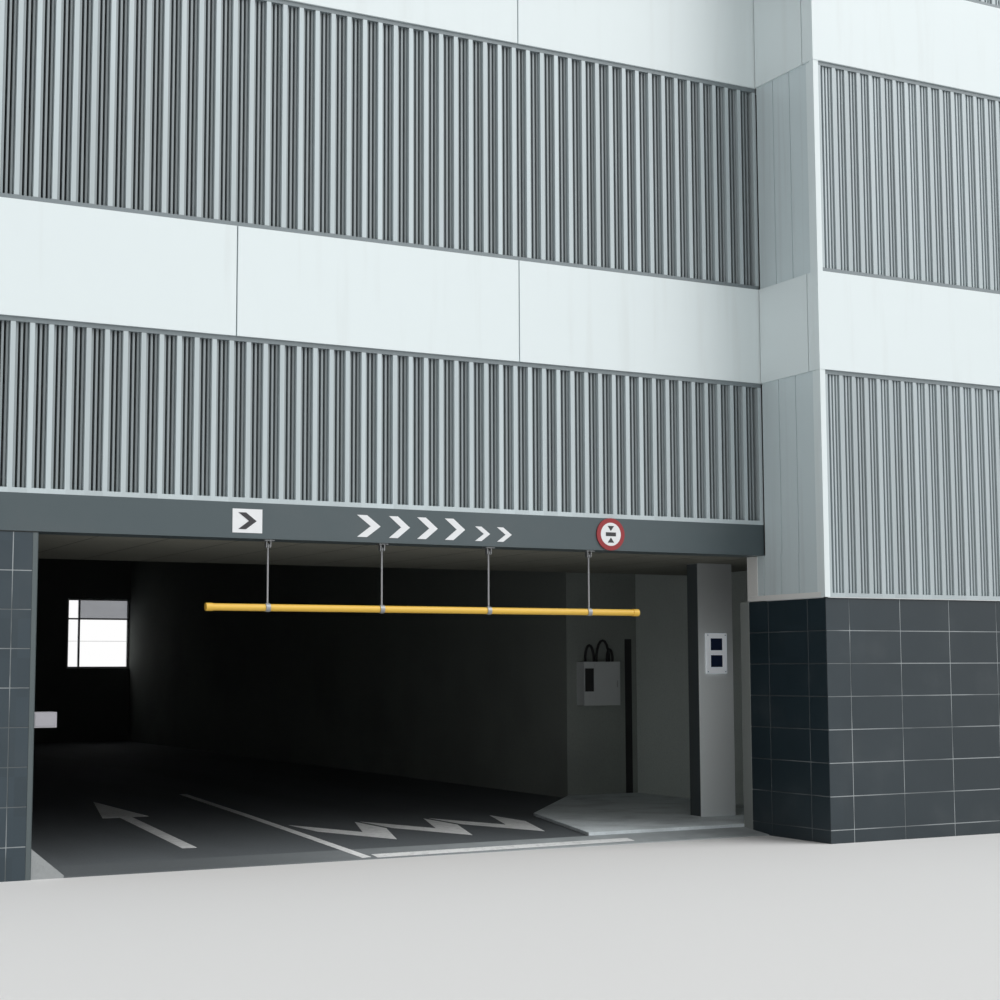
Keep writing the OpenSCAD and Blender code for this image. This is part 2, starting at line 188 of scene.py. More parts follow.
# %% The parts that every finish uses
class Finish:
    def __init__(self, name):
        self.material = bpy.data.materials.new(name)
        self.material.use_nodes = True
        self.tree = self.material.node_tree
        self.tree.nodes.clear()
        self.spot = self.node("ShaderNodeTexCoord", out="Object")

    def node(self, kind, settings=None, sockets=None, out=0):
        return add_node(self.tree, kind, settings or {}, sockets or {}, out)

    def noise(self, scale, detail=3.0, stretch=(1, 1, 1), out="Fac"):
        """Noise with features about 1/scale metres wide, longer where stretch is small."""
        place = self.spot * stretch
        return self.node("ShaderNodeTexNoise", {}, {"Vector": place, "Scale": scale, "Detail": detail}, out)

    def spread(self, value, low, high):
        """0 below low, 1 above high, soft between them."""
        return self.node("ShaderNodeMapRange", {"interpolation_type": "SMOOTHSTEP"},
                         {"Value": value, "From Min": low, "From Max": high})

    def axis(self, letter, vector=None):
        return self.node("ShaderNodeSeparateXYZ", {}, {0: vector or self.spot}, out="XYZ".index(letter))

    def chance(self, cell):
        """One random number between 0 and 1 for each whole-number cell."""
        whole = self.node("ShaderNodeVectorMath", {"operation": "FLOOR"}, {0: cell})
        return self.node("ShaderNodeTexWhiteNoise", {"noise_dimensions": "3D"}, {"Vector": whole})

    def mix(self, mask, first, second):
        """first where mask is 0 and second where it is 1; 6 and 7 are the Mix node's colour sockets."""
        return self.node("ShaderNodeMix", {"data_type": "RGBA"}, {"Factor": mask, 6: first, 7: second}, out=2)

    def coat(self, colour, roughness, relief=None, relief_depth=0.001, fixed=None, **varying):
        """varying sockets may carry wires; fixed sockets are plain numbers of the shader."""
        sockets = {"Base Color": colour, "Roughness": roughness, **(fixed or {}), **varying}
        if relief is not None:
            bump = {"Height": relief, "Distance": relief_depth, "Strength": 1.0}
            sockets["Normal"] = self.node("ShaderNodeBump", {}, bump, out="Normal")
        shader = self.node("ShaderNodeBsdfPrincipled", {}, sockets)
        self.node("ShaderNodeOutputMaterial", {}, {"Surface": shader})
        return self.material


def shade(colour, factor):
    """A colour made darker or lighter in Python, before it reaches a node."""
    return tuple(min(1.0, c * factor) for c in colour)


# %% [markdown]
# ### White coated panels
# The spandrel panels are smooth and nearly clean. Real ones differ a little from
# panel to panel, carry a soft grey veil below the coping, and show faint runs of
# rain. One random tone for each 2.7 m panel, a large cloud and a stretched noise
# give these without any picture.

# %% White panels
MODULE = 2.7  # width of one panel
WHITE = (0.79, 0.87, 0.885)
white = Finish("white_panel")
cell = (white.spot - (LEFT, FRONT, band_low.z)) / (MODULE, MODULE, STOREY) + 0.02
panel_tone = white.chance(cell)
clouds = white.noise(0.45, 4)
runs = white.spread(white.noise(1.0, 5, stretch=(7, 7, 0.5)), 0.52, 0.78)
veil = white.mix(clouds * 0.55, WHITE, shade(WHITE, 0.93))
toned = white.mix(panel_tone * 0.35, veil, shade(WHITE, 0.96))
stained = white.mix(runs * 0.22, toned, (0.60, 0.64, 0.63))
white_panel = white.coat(stained, 0.36 + clouds * 0.16, relief=white.noise(3.0, 6), relief_depth=0.002)
print("finish:", white_panel.name, len(white.tree.nodes), "nodes")

# %% [markdown]
# ### Coated aluminium fins
# The fins are extruded aluminium with a silver-grey powder coat. Each one has a
# slightly different tone. That could be a material for each fin, but one random
# number for each cell of one pitch does the same with a single material.
# Painted shade darkens the channels that hold the screens against the white
# bands, and the fins in front of them: the finish finds them by the height above
# the band, which repeats every storey.
# The screens of the wing and the right side get a darker copy of the same coat:
# the two copies are painted light and painted shade.

# %% Fins
FIN_PITCH = 0.15
FIN = (0.555, 0.635, 0.66)
CHANNEL = 0.04  # height of the channels above and below the fins
BAND = band_high.z - band_low.z
EDGE = 0.004  # soft edge of the channels' tone
TALL = 50.0  # a cell this tall holds the whole height
CELL_SHIFT = (0.31, 0.17, 0.5)  # keeps the cell borders off the fins


def fin_finish(name, colour):
    """Powder coat with a tone for each fin, dust, and painted shade on the channels against the bands."""
    fins = Finish(name)
    blade = fins.chance(fins.spot / (FIN_PITCH, FIN_PITCH, TALL) + CELL_SHIFT)
    dust = fins.noise(0.7, 4, stretch=(1, 1, 0.4))
    blade_tone = fins.mix(blade * 0.8, colour, shade(colour, 0.80))
    dusty = fins.mix(fins.spread(dust, 0.45, 0.75) * 0.3, blade_tone, (0.35, 0.385, 0.39))
    storeys_up = (fins.axis("Z") - band_low.z) / STOREY
    above_band = fins.node("ShaderNodeMath", {"operation": "FRACT"}, {0: storeys_up}) * STOREY
    head = fins.spread(above_band, STOREY - CHANNEL - EDGE, STOREY - CHANNEL)
    foot = 1 - fins.spread(above_band, BAND + CHANNEL, BAND + CHANNEL + EDGE)
    # painted shade: a darker strip of the screens next to each white band
    shade_at_bands = head.larger(foot * fins.spread(storeys_up, 0.0, 0.01))
    dusty = fins.mix(shade_at_bands, dusty, (0.20, 0.235, 0.25))
    return fins.coat(dusty, 0.34 + dust * 0.14, relief=fins.noise(60, 3, stretch=(1, 1, 0.05)),
                     relief_depth=0.0004, fixed={"Metallic": 0.1})


# painted light and shade: one coat in a lighter copy and a darker copy for the wing
fin_coat = fin_finish("fin_aluminium", FIN)
wing_fin_coat = fin_finish("fin_aluminium_wing", shade(FIN, 0.84))
print("finishes:", fin_coat.name, "and", wing_fin_coat.name)

# %% [markdown]
# ### Flat grey cladding
# The wing's side face and the rear are clad with smooth light planks. The same
# grey carries vertical streaks, because rain runs down the grooves. They are a
# noise that is stretched upwards, which needs no drawn picture.

# %% Cladding planks
CLADDING = (0.645, 0.735, 0.76)
PLANK_W = 0.3
planks = Finish("grey_cladding")
streaks = planks.noise(1.0, 4, stretch=(11, 11, 0.35))
plank_tone = planks.chance(planks.spot / (PLANK_W, PLANK_W, TALL) + 0.5)
clad = planks.mix(plank_tone * 0.2, CLADDING, shade(CLADDING, 0.90))
clad = planks.mix(planks.spread(streaks, 0.48, 0.75) * 0.4, clad, (0.50, 0.55, 0.57))
cladding = planks.coat(clad, 0.40 + streaks * 0.15, relief=streaks, relief_depth=0.0008,
                       fixed={"Metallic": 0.05})
print("finish:", cladding.name)

# %% [markdown]
# ### Dark wall tiles and their joints
# The base is faced with glazed blue-grey tiles. A tile wall reads through its
# joints and through the small difference in tone from tile to tile, so the
# random cell is one tile. A thin uneven gloss comes from the roughness. The blue
# of the pier's tiles fades along the front until the wing's are nearly grey.

# %% Tiles and pointing
TILE_W, TILE_H = 0.61, 0.305  # from joint to joint
FADE_END = 9.0  # where along X the blue is gone
TILE_BLUE, TILE_GREY = (0.031, 0.050, 0.064), (0.012, 0.022, 0.028)
tiles = Finish("dark_tile")
tile_cell = tiles.spot / (TILE_W / 2, TILE_W / 2, TILE_H) + (0.13, 0.21, 0.4)
tile_tone = tiles.chance(tile_cell)
bloom = tiles.noise(2.2, 5)
body = tiles.mix(tiles.spread(tiles.axis("X"), PIER_EDGE, FADE_END), TILE_BLUE, TILE_GREY)
body = tiles.mix(tile_tone * 0.3, body, TILE_GREY)
body = tiles.mix(tiles.spread(bloom, 0.5, 0.8) * 0.3, body, (0.060, 0.072, 0.078))
dark_tile = tiles.coat(body, 0.26 + bloom * 0.22, relief=tiles.noise(9, 4), relief_depth=0.0012)


def mortar(name, clean, sooty, cover):
    """Pointing that soot has darkened where the broad noise is above 1 - cover."""
    joint = Finish(name)
    grain = joint.noise(30, 5)
    soot = joint.noise(0.9, 3, stretch=(1, 1, 1.6))
    tone = joint.mix(grain * 0.4, clean, shade(clean, 0.8))
    tone = joint.mix(joint.spread(soot, 0.9 - cover, 1.1 - cover) * 0.9, tone, sooty)
    return joint.coat(tone, 0.85, relief=grain, relief_depth=0.001)


tile_pointing = mortar("tile_pointing", (0.42, 0.455, 0.47), (0.09, 0.105, 0.11), 0.48)
# painted shade: a darker copy of the pointing, for the tiled return that stands in shade
shaded_pointing = mortar("shaded_pointing", (0.22, 0.245, 0.255), (0.040, 0.048, 0.052), 0.60)
print("finishes:", dark_tile.name, tile_pointing.name, shaded_pointing.name)

# %% [markdown]
# ### Sheet metal, paint and signs
# Smaller pieces share one recipe: a coat with a soft cloud of dust and a fine
# orange peel. A function makes the finish from a colour, a roughness and how
# metallic it is, and the dust shows more on surfaces that are seldom wiped.

# %% One recipe for painted and metal pieces
SHADE_HEIGHTS_ON_PAINT = (1.3, 2.6)  # heights between which painted shade darkens the coat
GLOW_TINT = (0.85, 0.93, 1.0)


def painted(name, colour, roughness=0.4, metallic=0.0, dust=0.3, peel=25, glow=0.0, top_shade=0.0):
    """glow is painted light of its own, and the last argument is painted shade that darkens the coat towards
    the ceiling.
    """
    coat = Finish(name)
    cloud = coat.noise(1.6, 5)
    fine = coat.noise(peel, 3)
    grey = sum(colour) / 3
    dusted = tuple(0.6 * c + 0.4 * (0.5 * grey + 0.12) for c in colour)
    tone = coat.mix(coat.spread(cloud, 0.4, 0.75) * dust, colour, dusted)
    tone = coat.mix(fine * 0.15, tone, shade(colour, 0.8))
    if top_shade:
        # painted shade: the coat darkens towards the ceiling
        tone = coat.mix(coat.spread(coat.axis("Z"), *SHADE_HEIGHTS_ON_PAINT) * top_shade, tone, shade(colour, 0.3))
    return coat.coat(tone, roughness + cloud * 0.15, relief=fine, relief_depth=0.0004,
                     fixed={"Metallic": metallic, "Emission Color": GLOW_TINT, "Emission Strength": glow})


dark_fascia = painted("dark_fascia", (0.070, 0.094, 0.103), 0.42, 0.25)
light_paint = painted("light_paint", (0.62, 0.65, 0.66), 0.45)
# the column's coat gets painted shade towards the ceiling
column_paint = painted("column_paint", (0.92, 0.97, 0.98), 0.45, dust=0.15, top_shade=0.85)
sign_white = painted("sign_white", (0.82, 0.84, 0.86), 0.30, dust=0.12)
# painted light: the plate glows a little, so that it reads brighter in the shade
glowing_plate = painted("glowing_plate", (0.88, 0.91, 0.94), 0.25, dust=0.05, glow=0.16)
sign_navy = painted("sign_navy", (0.012, 0.025, 0.07), 0.30, dust=0.1)
sign_red = painted("sign_red", (0.30, 0.022, 0.028), 0.30, dust=0.12)
sign_black = painted("sign_black", (0.03, 0.03, 0.035), 0.35, dust=0.1)
galvanised = painted("bracket_steel", (0.42, 0.43, 0.44), 0.38, 0.85, dust=0.2)
white_rod = painted("white_rod", (0.34, 0.35, 0.36), 0.35, 0.3, dust=0.15)
yellow = painted("yellow_paint", (0.84, 0.52, 0.07), 0.38, dust=0.12)
trim_metal = painted("trim_metal", (0.10, 0.125, 0.13), 0.35, 0.3)
pale_trim = painted("pale_trim", (0.80, 0.80, 0.78), 0.40, dust=0.2)
box_grey = painted("box_grey", (0.36, 0.355, 0.385), 0.45)
# painted shade: a darker copy of the fin coat for the slim fins in the gaps
shaded_slim_coat = painted("shaded_slim_coat", shade(FIN, 0.50), 0.38, 0.1, dust=0.2, peel=60)
jamb_metal = painted("jamb_metal", (0.30, 0.325, 0.315), 0.40, 0.2)
# painted shade: the dark plates on the column's flanks
shaded_column_flank = painted("shaded_column_flank", (0.070, 0.085, 0.090), 0.45, 0.2)
rubber = painted("black_rubber", (0.02, 0.02, 0.022), 0.75)
print(len(bpy.data.materials), "finishes so far")

# %% [markdown]
# ### Tinted glass
# The top of the rear opening is closed by a grey frosted pane. A half transparent
# surface would do, but transmission with some roughness also blurs what lies
# behind, as frosted glass does, and the base colour tints it.

# %% Glass of the rear opening
glass = Finish("tinted_glass")
film = glass.noise(4, 4)
tinted_glass = glass.coat(glass.mix(film * 0.5, (0.36, 0.37, 0.39), (0.28, 0.29, 0.31)), 0.35 + film * 0.2,
                          fixed={"Transmission Weight": 0.9, "IOR": 1.1})
print("finish:", tinted_glass.name)

# %% [markdown]
# ### Concrete
# Floors, decks and columns are the same cast concrete. Inside a car park it is
# darkened by use and exhaust, so a broad stain is laid over a fine grain. One
# material for all would look too even, so a function makes several versions of
# the recipe. The rendered walls beside the lane grow darker towards the ceiling:
# painted shade.

# %% Concrete in several tones
SHADE_HEIGHTS_ON_WALLS = (0.4, 2.8)  # from knee height to the ceiling


def concrete(name, colour, stain=0.5, roughness=0.8, marks=(1, 1, 1), top_shade=0.0):
    """marks stretches the stain, and the last argument is painted shade that darkens the surface towards the
    ceiling.
    """
    cast = Finish(name)
    sand = cast.noise(38, 5)
    broad = cast.noise(0.55, 6, stretch=marks)
    pores = cast.spread(cast.noise(70, 2), 0.62, 0.72)
    tone = cast.mix(sand * 0.6, colour, shade(colour, 0.72))
    tone = cast.mix(cast.spread(broad, 0.42, 0.72) * stain, tone, shade(colour, 0.5))
    tone = cast.mix(pores * 0.35, tone, shade(colour, 0.35))
    if top_shade:
        # painted shade: the surface darkens towards the ceiling
        tone = cast.mix(cast.spread(cast.axis("Z"), *SHADE_HEIGHTS_ON_WALLS) * top_shade, tone, shade(colour, 0.35))
    return cast.coat(tone, roughness + sand * 0.15, relief=sand - pores * 0.6, relief_depth=0.003)


deck_concrete = concrete("concrete", (0.30, 0.30, 0.29))
roof_surface = concrete("roof_surface", (0.30, 0.31, 0.31), 0.4)
# its very pale tone is partly the concrete's own and partly painted light: daylight on the floor inside the
# entrance
footway_slab = concrete("kerb_concrete", (0.84, 0.92, 0.95), 0.55, marks=(4, 4, 1))
guard_stone = concrete("guard_stone", (0.36, 0.38, 0.385), 0.3)
# the rendered walls get painted shade towards the ceiling
inner_render = concrete("inner_render", (0.37, 0.405, 0.38), 0.4, 0.85, top_shade=0.45)
# painted light: a much paler copy of the inner render, for the side wall that daylight from the entrance
# reaches
recess_render = concrete("recess_render", (0.84, 0.92, 0.88), 0.3, 0.85, top_shade=0.45)
wall_concrete = concrete("wall_core", (0.15, 0.155, 0.15), 0.3)
print(len(bpy.data.materials), "finishes with the concrete")

# %% [markdown]
# The lane is dark asphalt with long worn tracks. At its mouth a slope of pale
# concrete leads up from outside, so the position along the lane chooses between
# the two with a sharp edge. Two solids would do as well, but one finish needs no
# change in the CAD model. The slope's left half is darker: painted shade.

# %% Lane floor and its threshold
lane = Finish("floor_surface")
grit = lane.noise(45, 5)
tracks = lane.noise(0.55, 6, stretch=(1.6, 0.25, 1))
ASPHALT, SLOPE_SHADED, SLOPE_PALE = (0.105, 0.120, 0.130), (0.095, 0.108, 0.115), (0.42, 0.46, 0.475)
SHADE_TO, PALE_FROM = -2.0, 2.5  # where along X the slope turns from painted shade to pale
asphalt = lane.mix(grit * 0.6, ASPHALT, shade(ASPHALT, 0.66))
asphalt = lane.mix(lane.spread(tracks, 0.42, 0.70) * 0.55, asphalt, shade(ASPHALT, 0.5))
# painted shade on the slope's left half
slope = lane.mix(lane.spread(lane.axis("X"), SHADE_TO, PALE_FROM), SLOPE_SHADED, SLOPE_PALE)
slope = lane.mix(lane.noise(6, 5) * 0.5, slope, SLOPE_SHADED)
inside = lane.spread(lane.axis("Y"), SLOPE_END - 0.012, SLOPE_END)
lane_floor = lane.coat(lane.mix(inside, slope, asphalt), 0.70 + grit * 0.2, relief=grit, relief_depth=0.003)
print("finish:", lane_floor.name)

# %% [markdown]
# ### Ceiling boards
# The lowered ceiling behind the fascia beam is made of brown-grey boards that
# catch light from outside. Their joints are too fine for geometry of their
# own, so they are dark lines worked out from the position along the ceiling:
# the fraction of a board, near its ends.

# %% Ceiling boards
BOARD = 0.6
ceiling = Finish("soffit_panel")
along = ceiling.axis("X") / BOARD
part = ceiling.node("ShaderNodeMath", {"operation": "FRACT"}, {0: along})
edge = ceiling.node("ShaderNodeMath", {"operation": "PINGPONG"}, {0: part, 1: 0.5})
seam = 1 - ceiling.spread(edge, 0.006, 0.012)
smoke = ceiling.noise(1.1, 5)
board = ceiling.mix(smoke * 0.7, (0.205, 0.20, 0.165), (0.145, 0.145, 0.12))
board = ceiling.mix(seam, board, (0.02, 0.02, 0.02))
soffit_board = ceiling.coat(board, 0.55 + smoke * 0.2, relief=0 - seam, relief_depth=0.004)
print("finish:", soffit_board.name)

# %% [markdown]
# ### Worn floor paint
# The lines on the floor are thick paint that use has scuffed. The
# scuffs are a noise with a hard edge, and they let the dark floor show.

# %% Floor paint
lines = Finish("floor_paint")
scuff = lines.spread(lines.noise(16, 6), 0.50, 0.62)
wear = lines.spread(lines.noise(1.3, 4), 0.45, 0.75)
mask = scuff * 0.5 + wear * 0.5
paint_tone = lines.mix(mask * 0.35, (0.92, 0.94, 0.94), (0.20, 0.21, 0.215))
floor_paint = lines.coat(paint_tone, 0.6, relief=scuff, relief_depth=0.001)
print("finish:", floor_paint.name)

# %% [markdown]
# ## Dressing the solids
# A CAD solid keeps its mesh. It only gets its finish, and where light should
# catch an edge it also gets a small Bevel modifier, which rounds the rim of a
# panel the way a folded or cast edge is rounded.


# %% Finish each CAD solid
def dress(material, names, bevel=0.0, segments=2):
    """Give the named solids a finish and, where bevel isn't 0, soft edges of that width."""
    for name in names:
        piece = nodes[name]
        piece.data.materials.clear()
        piece.data.materials.append(material)
        if bevel:
            soft = piece.modifiers.new("soft_edge", "BEVEL")
            soft.width, soft.segments, soft.limit_method = bevel, segments, "ANGLE"
            soft.angle_limit = math.radians(40)


main_screens = [name for name in nodes if name.startswith(("front_fins", "left_fins", "rear_fins"))]
wing_screens = [name for name in nodes if name.startswith(("wing_fins", "right_fins"))]
dress(white_panel, ["white_band_1", "white_band_2", "roof_band"], bevel=0.006)
dress(white_panel, ["roof_coping", "corner_posts"], bevel=0.004)
dress(fin_coat, main_screens)
dress(wing_fin_coat, wing_screens)
dress(cladding, ["rear_cladding", "return_cladding"])
dress(wall_concrete, ["left_front_wall", "left_side_wall", "right_side_wall", "rear_wall",
                      "wing_front_wall", "wing_return_wall"])
dress(dark_fascia, ["left_fascia", "entrance_lintel"], bevel=0.004)
dress(inner_render, ["recess_end_wall", "lane_wall"])
dress(recess_render, ["recess_side_wall"])
dress(deck_concrete, ["deck_1", "deck_2", "columns"])
dress(roof_surface, ["roof_deck"])
dress(lane_floor, ["ground_slab"])
dress(footway_slab, ["footway"], bevel=0.006)
dress(guard_stone, ["pier_guard"], bevel=0.008)
dress(soffit_board, ["entrance_soffit"])
dress(column_paint, ["gate_column"], bevel=0.008, segments=3)
dress(light_paint, ["wall_box"], bevel=0.008, segments=3)
dress(box_grey, ["jamb_box"], bevel=0.008, segments=3)
dress(glowing_plate, ["column_plate"], bevel=0.003)
dress(sign_red, ["height_disc"], bevel=0.003)
dress(galvanised, ["bar_brackets"], bevel=0.002)
dress(white_rod, ["bar_hangers"], bevel=0.001)
dress(yellow, ["headroom_bar"], bevel=0.003)
bare = [name for name in nodes if not nodes[name].data.materials]
print("solids without a finish:", bare)

# %% [markdown]
# ## Building new pieces
# Every added piece is made of prisms: an outline pushed along a direction. An
# operator call for each of the thousands would be slow. So a small class keeps
# their corners and faces in plain lists and makes one mesh of them, and a Bevel
# modifier rounds the edges where it matters.


# %% A collector for prisms
UPRIGHT = Matrix(((1, 0, 0, 0), (0, 0, 1, 0), (0, 1, 0, 0), (0, 0, 0, 1)))  # an outline seen from above


class Prisms:
    def __init__(self):
        self.points, self.loops, self.finishes = [], [], []

    def prism(self, outline, start, end, place=Matrix(), finish=0):
        """outline is a list of (x, z) corners, pushed along local y from start to end."""
        first = len(self.points)
        for depth in (start, end):
            self.points += [place @ Vector((x, depth, z)) for x, z in outline]
        self.close(first, len(outline), finish)

    def close(self, first, count, finish=0):
        """Two caps and the sides between the last two rings of count points, the first ring at first."""
        ring = range(count)
        loops = [tuple(first + i for i in ring), tuple(first + count + i for i in reversed(ring))]
        loops += [(first + (i + 1) % count, first + i, first + count + i, first + count + (i + 1) % count)
                  for i in ring]
        self.loops += loops
        self.finishes += [finish] * len(loops)

    def block(self, x, y, z, place=Matrix(), finish=0):
        """A block from the pairs of its limits along, inwards and up."""
        self.prism([(x[0], z[0]), (x[1], z[0]), (x[1], z[1]), (x[0], z[1])], y[0], y[1], place, finish)

    def make(self, name, materials, body="building", bevel=0.0):
        mesh = bpy.data.meshes.new(name)
        mesh.from_pydata(self.points, [], self.loops)
        mesh.polygons.foreach_set("material_index", self.finishes)
        for material in materials:
            mesh.materials.append(material)
        mesh.update()
        piece = bpy.data.objects.new(name, mesh)
        bpy.context.scene.collection.objects.link(piece)
        if bevel:
            soft = piece.modifiers.new("soft_edge", "BEVEL")
            soft.width, soft.segments, soft.limit_method = bevel, 1, "ANGLE"
        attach(piece, body)
        print(name, len(mesh.polygons), "faces")
        return piece


# %% [markdown]
# ## Slim fins
# The main fins of the CAD model stand 150 mm apart. The real screens are finer
# than a solid model can carry, so each gap gets three slim fins, set back behind
# the main noses. An Array modifier could repeat them, but a loop can also leave
# out the places of the main fins. On the main front, the left side and the rear
# the slim fins are darker, painted shade in the gaps, so that the main ones stand
# out as broad stripes. On the wing and the right side all fins have one tone, and
# the screens look even.

# %% Slim fins between the main fins
SLIM_STEP = 4  # one main fin and three slim ones
POST = 0.04  # width of the posts at a screen's ends
MAIN_BACK = 0.054  # width of a main fin at its back
SLIM_NOSE, SLIM_BACK, SLIM_DEPTH = 0.018, 0.022, 0.040
SET_BACK, WING_SET_BACK = 0.035, 0.020  # from the main noses to the slim ones
FIN_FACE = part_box("front_fins_0")[0].y - FRONT


def slim_fins(face_name, storeys, set_back=SET_BACK, coat=shaded_slim_coat):
    """Tapered slim fins between the main ones, from channel to channel, on the storeys of one face."""
    field = Prisms()
    place = face(face_name)
    upright = place @ UPRIGHT
    front = FIN_FACE + set_back
    profile = [(-SLIM_NOSE / 2, front), (-SLIM_BACK / 2, front + SLIM_DEPTH),
               (SLIM_BACK / 2, front + SLIM_DEPTH), (SLIM_NOSE / 2, front)]
    for storey in storeys:
        low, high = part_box(f"{face_name}_fins_{storey}")
        ends = [(place.inverted() @ Vector((x, y, 0))).x for x in (low.x, high.x) for y in (low.y, high.y)]
        start, stop = min(ends) + POST, max(ends) - POST
        main_fins = math.floor((stop - start - MAIN_BACK) / FIN_PITCH)
        first = (start + stop - (main_fins - 1) * FIN_PITCH) / 2
        for index in range(1 - SLIM_STEP, SLIM_STEP * main_fins):
            x = first + index * FIN_PITCH / SLIM_STEP
            if index % SLIM_STEP and start + SLIM_BACK < x < stop - SLIM_BACK:
                field.prism([(x + px, py) for px, py in profile], low.z + CHANNEL, high.z - CHANNEL, upright)
    return field.make(f"slim_fins_{face_name}", [coat])


slim_fins("front", (0, 1, 2))
slim_fins("wing", (0, 1, 2), WING_SET_BACK, wing_fin_coat)
slim_fins("right", (0, 1, 2), WING_SET_BACK, wing_fin_coat)
slim_fins("left", (0, 1, 2))
slim_fins("rear", (1, 2))

# %% [markdown]
# ## Tiled base
# The tiles are stacked, not staggered, 602 by 297 mm with 8 mm joints, and the
# rows are counted down from the top of the base. A brick texture could paint the
# joints, but real ones have depth, and stop at corners and openings. So every
# tile is a block of its own, set into a sheet of pointing that lies 2.5 mm behind
# the tile faces. The joints stay pale instead of turning into dark slits.

# %% Tile fields
TILE_FACE, TILE_SET, POINTING = 0.030, 0.036, 0.0325  # depths behind the outer face
JOINT = 0.008
NARROWEST, LOWEST = 0.03, 0.02  # a strip of tile that is smaller is left out
CLEAR = 0.002  # a sheet stops this short of the piece beside it


def tile_columns(start, stop, first_joint):
    """Left and right edges of the tiles between start and stop; first_joint lies somewhere between."""
    step_back = math.floor((first_joint - start) / TILE_W)
    edges = [start]
    x = first_joint - step_back * TILE_W
    while x < stop - NARROWEST:
        if x > start + NARROWEST:
            edges.append(x)
        x += TILE_W
    return list(zip(edges, edges[1:] + [stop]))


def tile_field(name, face_name, start, stop, top, first_joint, opening=None, joints=tile_pointing):
    """Tiles and pointing of a face; opening gives the two sides and the sill of a hole up to the top."""
    field = Prisms()
    place = face(face_name)
    spans = [(start, stop, 0.0, top)]
    if opening:
        low, high, sill = opening
        spans = [(start, low, 0.0, top), (high, stop, 0.0, top), (low, high, 0.0, sill)]
    for x0, x1, z0, z1 in spans:
        field.block((x0 + TILE_SET - TILE_FACE, x1 - CLEAR), (POINTING, WALL_IN), (z0, z1), place, 1)
        for left, right in tile_columns(x0, x1, first_joint):
            left += JOINT / 2 if left > x0 else 0
            right -= JOINT / 2 if right < x1 else 0
            z = top
            while z > z0 + LOWEST:
                low = max(z - TILE_H, z0)
                foot = low + JOINT if low > 0 else low
                if low < z1 - LOWEST:
                    field.block((left, right), (TILE_FACE, TILE_SET), (foot, min(z, z1)), place)
                z -= TILE_H
    return field.make(name, [dark_tile, joints], bevel=0.0012)


# %% [markdown]
# Six faces carry tiles. The pier's and the left side's reach up to the dark
# fascia, and the others end lower, at the top of the wing's base. A list of
# rectangles could be typed in, but the ends and tops are worked out from the
# solids, so the tiles follow when a size of the CAD model changes.

# %% Tiles of the six faces
HALF = TILE_W / 2  # the first tile at a corner is a half one
STRIP_W = 0.04  # width of the pier's metal corner
PIER_JOINT = 0.19  # from the pier's edge to its last joint
OPENING_W, SILL, HEAD = 1.40, 1.65, 3.20  # of the opening in the rear wall
pier_x = PIER_EDGE - LEFT
lane_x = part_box("lane_wall")[0].x
wall_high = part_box("wing_return_wall")[1]
ENDS = {name: length - TILE_SET for name, length in LENGTHS.items()}
pier_head, base_head = PIER_TOP - JOINT, BASE_TOP - JOINT
rear_hole = (RIGHT - lane_x, RIGHT - lane_x + OPENING_W, SILL)
tile_field("tiles_pier", "front", TILE_FACE, pier_x - STRIP_W, pier_head, pier_x - PIER_JOINT)
tile_field("tiles_left", "left", TILE_FACE, ENDS["left"], pier_head, HALF)
# the return's pointing is the darker copy: painted shade
tile_field("tiles_return", "return", FRONT - wall_high.y, ENDS["return"], base_head,
           LENGTHS["return"] - HALF, joints=shaded_pointing)
tile_field("tiles_wing", "wing", TILE_FACE, ENDS["wing"], base_head, HALF)
tile_field("tiles_right", "right", TILE_FACE, ENDS["right"], base_head, HALF)
tile_field("tiles_rear", "rear", TILE_FACE, ENDS["rear"], base_head, HALF, rear_hole)

# %% [markdown]
# The pier ends in a folded metal corner that protects the tile edges. It is an
# L-shaped strip, 40 mm wide at the front. One bent outline would do, but two
# plain blocks that meet at the corner look the same.

# %% Corner strip of the pier
STRIP_FACE, SIDE_LEG = 0.028, 0.10  # just in front of the tiles, and how far back it reaches
DIP = 0.001  # thin pieces reach this far into what carries them
strip = Prisms()
strip.block((pier_x - STRIP_W, pier_x - DIP), (STRIP_FACE, WALL_IN), (0, pier_head), face("front"))
strip.block((pier_x - 0.002, pier_x + 0.003), (STRIP_FACE, SIDE_LEG), (0, pier_head), face("front"))
strip.make("pier_corner_strip", [trim_metal], bevel=0.002)

# %% [markdown]
# A thin folded sheet covers the top edge of the tiles under the fins. Its front
# lip throws the fine dark line that parts the pale screens from the base. A line
# of paint would look flat from the side, so it is a real strip.

# %% Drip strips above the tiles
DRIP, LIP = 0.006, 0.012  # thickness, and the lip's place behind the outer face
FASCIA_IN = 0.02  # set-back of the dark fascia, where the left strip ends
drips = Prisms()
for side in ("wing", "right", "return", "rear"):
    start = 0.0 if side == "return" else LIP
    drips.block((start, LENGTHS[side] - LIP), (LIP, WALL_IN), (BASE_TOP - DRIP, BASE_TOP), face(side))
drips.block((LIP, LENGTHS["left"] - LIP), (LIP, FASCIA_IN), (PIER_TOP - DRIP, PIER_TOP), face("left"))
drips.make("drip_strips", [light_paint])

# %% [markdown]
# ## Paint on the floor
# A line parts the two lanes, an arrow leads inside, and plain chevrons lie
# before the exit lane's stop line. A mask in the floor's finish could paint them,
# but each shape would need its own formula there. So they are sheets that rise
# 2 mm and follow the slope at the threshold: the height of each corner is worked
# out from its place.

# %% Sheets of paint that follow the floor
FLOOR_TOP = floor_high.z
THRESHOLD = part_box("pier_guard")[0].y
SLOPE_RISE = 0.04
PAINT = 0.002


def floor_level(y):
    """Height of the floor at y, on the slope too."""
    return FLOOR_TOP - SLOPE_RISE * max(0.0, SLOPE_END - y) / (SLOPE_END - THRESHOLD)


